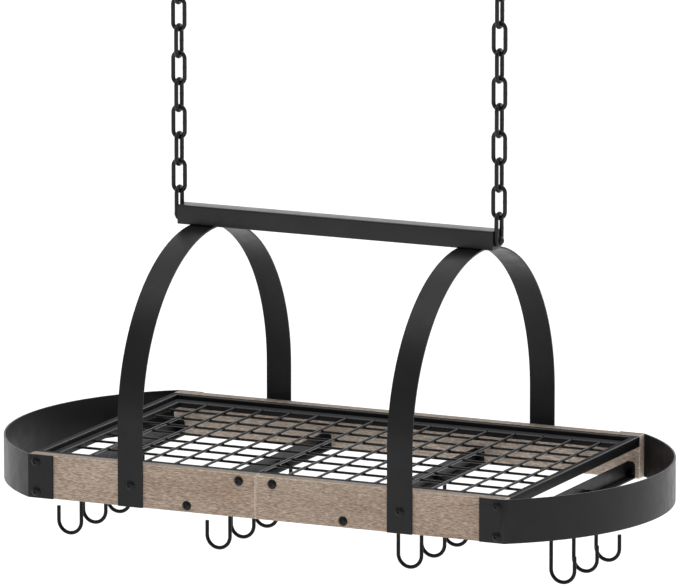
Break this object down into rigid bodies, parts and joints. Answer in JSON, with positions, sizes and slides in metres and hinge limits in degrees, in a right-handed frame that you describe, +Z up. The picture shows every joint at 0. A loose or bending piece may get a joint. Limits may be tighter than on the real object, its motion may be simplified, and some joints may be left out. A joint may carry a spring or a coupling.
{
  "type": "hanging pot rack",
  "caption": "Oblong hanging pot rack: wire shelf between wooden rails and bowed steel end rims, strap arches up to a beam hung on chains, with swinging pot hooks below.",
  "frame": {"origin": "on the ceiling, midway between the screws of the two ceiling hooks", "axes": "+Z up, +X along the rails towards the right end, -Y to the front"},
  "size_m": [0.9, 0.4566, 0.8457],
  "materials": {
    "powder_coat": "black powder coat, semi-gloss",
    "wood": "grey-brown stained wood, matt",
    "shelf_wire": "black powder coat on wire, semi-gloss",
    "hook_wire": "black powder coat on wire, semi-gloss",
    "chain": "black coated steel",
    "fastener": "black oxide steel"
  },
  "bodies": {
    "ceiling_hooks": {"ceiling_hook_left": "chain", "ceiling_hook_right": "chain"},
    "left_top_link": {"left_link_10": "chain"},
    "left_chain": {"left_link_2": "chain", "left_link_3": "chain", "left_link_4": "chain", "left_link_5": "chain", "left_link_6": "chain", "left_link_7": "chain", "left_link_8": "chain", "left_link_9": "chain"},
    "left_bottom_link": {"left_link_1": "chain"},
    "right_top_link": {"right_link_10": "chain"},
    "right_chain": {"right_link_2": "chain", "right_link_3": "chain", "right_link_4": "chain", "right_link_5": "chain", "right_link_6": "chain", "right_link_7": "chain", "right_link_8": "chain", "right_link_9": "chain"},
    "right_bottom_link": {"right_link_1": "chain"},
    "rack": {"grid_frame": "powder_coat", "end_rim_left": "powder_coat", "end_rim_right": "powder_coat", "arch_left": "powder_coat", "arch_right": "powder_coat", "cross_bar_1": "powder_coat", "cross_bar_2": "powder_coat", "cross_bar_3": "powder_coat", "cross_bar_4": "powder_coat", "top_beam": "powder_coat", "beam_plug_left": "powder_coat", "beam_plug_right": "powder_coat", "front_rail_left": "wood", "front_rail_right": "wood", "back_rail_left": "wood", "back_rail_right": "wood", "grid_long_wires": "shelf_wire", "grid_cross_wires": "shelf_wire", "chain_bolt_left": "fastener", "chain_bolt_right": "fastener", "flange_bolts": "fastener", "strap_bolts": "fastener", "bar_bolts": "fastener", "seam_bolts": "fastener", "beam_bolts": "fastener", "nuts": "fastener"},
    "hook_1": {"pot_hook_1": "hook_wire"},
    "hook_2": {"pot_hook_2": "hook_wire"},
    "hook_3": {"pot_hook_3": "hook_wire"},
    "hook_4": {"pot_hook_4": "hook_wire"},
    "hook_5": {"pot_hook_5": "hook_wire"},
    "hook_6": {"pot_hook_6": "hook_wire"},
    "hook_7": {"pot_hook_7": "hook_wire"},
    "hook_8": {"pot_hook_8": "hook_wire"},
    "hook_9": {"pot_hook_9": "hook_wire"},
    "hook_10": {"pot_hook_10": "hook_wire"},
    "hook_11": {"pot_hook_11": "hook_wire"},
    "hook_12": {"pot_hook_12": "hook_wire"}
  },
  "joints": [
    {"name": "rack_swing", "type": "hinge", "parent": "ceiling_hooks", "child": "left_top_link", "pos_m": [-0.22655, 0, -0.02955], "axis": [1, 0, 0], "range_deg": [-10, 10]},
    {"name": "rack_sway", "type": "hinge", "parent": "left_top_link", "child": "left_chain", "pos_m": [-0.22655, 0, -0.06485], "axis": [0, 1, 0], "range_deg": [-8, 8]},
    {"name": "left_bottom_turn", "type": "hinge", "parent": "left_chain", "child": "left_bottom_link", "pos_m": [-0.22655, 0, -0.34725], "axis": [0, 1, 0], "range_deg": [-8, 8]},
    {"name": "rack_tilt", "type": "hinge", "parent": "left_bottom_link", "child": "rack", "pos_m": [-0.22655, 0, -0.3823], "axis": [1, 0, 0], "range_deg": [-12, 12]},
    {"name": "right_swing", "type": "hinge", "parent": "ceiling_hooks", "child": "right_top_link", "pos_m": [0.22655, 0, -0.02955], "axis": [1, 0, 0], "range_deg": [-10, 10]},
    {"name": "right_sway", "type": "hinge", "parent": "right_top_link", "child": "right_chain", "pos_m": [0.22655, 0, -0.06485], "axis": [0, 1, 0], "range_deg": [-8, 8]},
    {"name": "right_bottom_turn", "type": "hinge", "parent": "right_chain", "child": "right_bottom_link", "pos_m": [0.22655, 0, -0.34725], "axis": [0, 1, 0], "range_deg": [-8, 8]},
    {"name": "hook_1_swing", "type": "hinge", "parent": "rack", "child": "hook_1", "pos_m": [-0.325, -0.072, -0.71762], "axis": [1, 0, 0], "range_deg": [-20, 20]},
    {"name": "hook_2_swing", "type": "hinge", "parent": "rack", "child": "hook_2", "pos_m": [-0.325, 0, -0.71762], "axis": [1, 0, 0], "range_deg": [-20, 20]},
    {"name": "hook_3_swing", "type": "hinge", "parent": "rack", "child": "hook_3", "pos_m": [-0.325, 0.072, -0.71762], "axis": [1, 0, 0], "range_deg": [-20, 20]},
    {"name": "hook_4_swing", "type": "hinge", "parent": "rack", "child": "hook_4", "pos_m": [-0.111, -0.072, -0.71762], "axis": [1, 0, 0], "range_deg": [-20, 20]},
    {"name": "hook_5_swing", "type": "hinge", "parent": "rack", "child": "hook_5", "pos_m": [-0.111, 0, -0.71762], "axis": [1, 0, 0], "range_deg": [-20, 20]},
    {"name": "hook_6_swing", "type": "hinge", "parent": "rack", "child": "hook_6", "pos_m": [-0.111, 0.072, -0.71762], "axis": [1, 0, 0], "range_deg": [-20, 20]},
    {"name": "hook_7_swing", "type": "hinge", "parent": "rack", "child": "hook_7", "pos_m": [0.109, -0.072, -0.71762], "axis": [1, 0, 0], "range_deg": [-20, 20]},
    {"name": "hook_8_swing", "type": "hinge", "parent": "rack", "child": "hook_8", "pos_m": [0.109, 0, -0.71762], "axis": [1, 0, 0], "range_deg": [-20, 20]},
    {"name": "hook_9_swing", "type": "hinge", "parent": "rack", "child": "hook_9", "pos_m": [0.109, 0.072, -0.71762], "axis": [1, 0, 0], "range_deg": [-20, 20]},
    {"name": "hook_10_swing", "type": "hinge", "parent": "rack", "child": "hook_10", "pos_m": [0.323, -0.072, -0.71762], "axis": [1, 0, 0], "range_deg": [-20, 20]},
    {"name": "hook_11_swing", "type": "hinge", "parent": "rack", "child": "hook_11", "pos_m": [0.323, 0, -0.71762], "axis": [1, 0, 0], "range_deg": [-20, 20]},
    {"name": "hook_12_swing", "type": "hinge", "parent": "rack", "child": "hook_12", "pos_m": [0.323, 0.072, -0.71762], "axis": [1, 0, 0], "range_deg": [-20, 20]}
  ],
  "couplings": [
    {"joint": "left_bottom_turn", "follows": "rack_sway", "ratio": -1},
    {"joint": "right_swing", "follows": "rack_swing", "ratio": 1},
    {"joint": "right_sway", "follows": "rack_sway", "ratio": 1},
    {"joint": "right_bottom_turn", "follows": "rack_sway", "ratio": -1}
  ]
}
